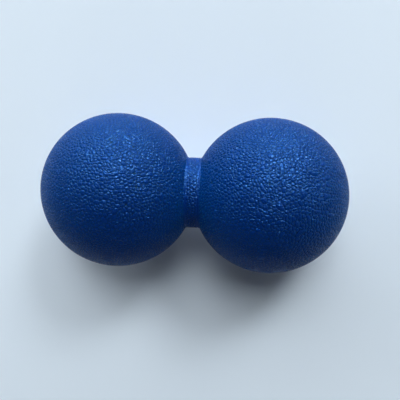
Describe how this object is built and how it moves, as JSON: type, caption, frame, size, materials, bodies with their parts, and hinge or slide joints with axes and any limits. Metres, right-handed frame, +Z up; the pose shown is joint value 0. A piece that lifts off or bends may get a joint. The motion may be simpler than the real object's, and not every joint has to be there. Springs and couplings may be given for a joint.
{
  "type": "peanut massage ball",
  "caption": "Peanut-shaped massage ball: equal round balls joined by a short narrow neck, a solid moulding of soft blue rubbery plastic with a leather grain.",
  "frame": {"origin": "on the surface that both balls touch, midway between them", "axes": "+X along the long axis, through both balls; +Z up, away from the surface; +Y across"},
  "size_m": [0.1246, 0.063, 0.063],
  "materials": {
    "blue_elastomer": "satin, with a raised leather grain all over"
  },
  "bodies": {
    "root": {"massage_ball": "blue_elastomer"}
  },
  "joints": []
}
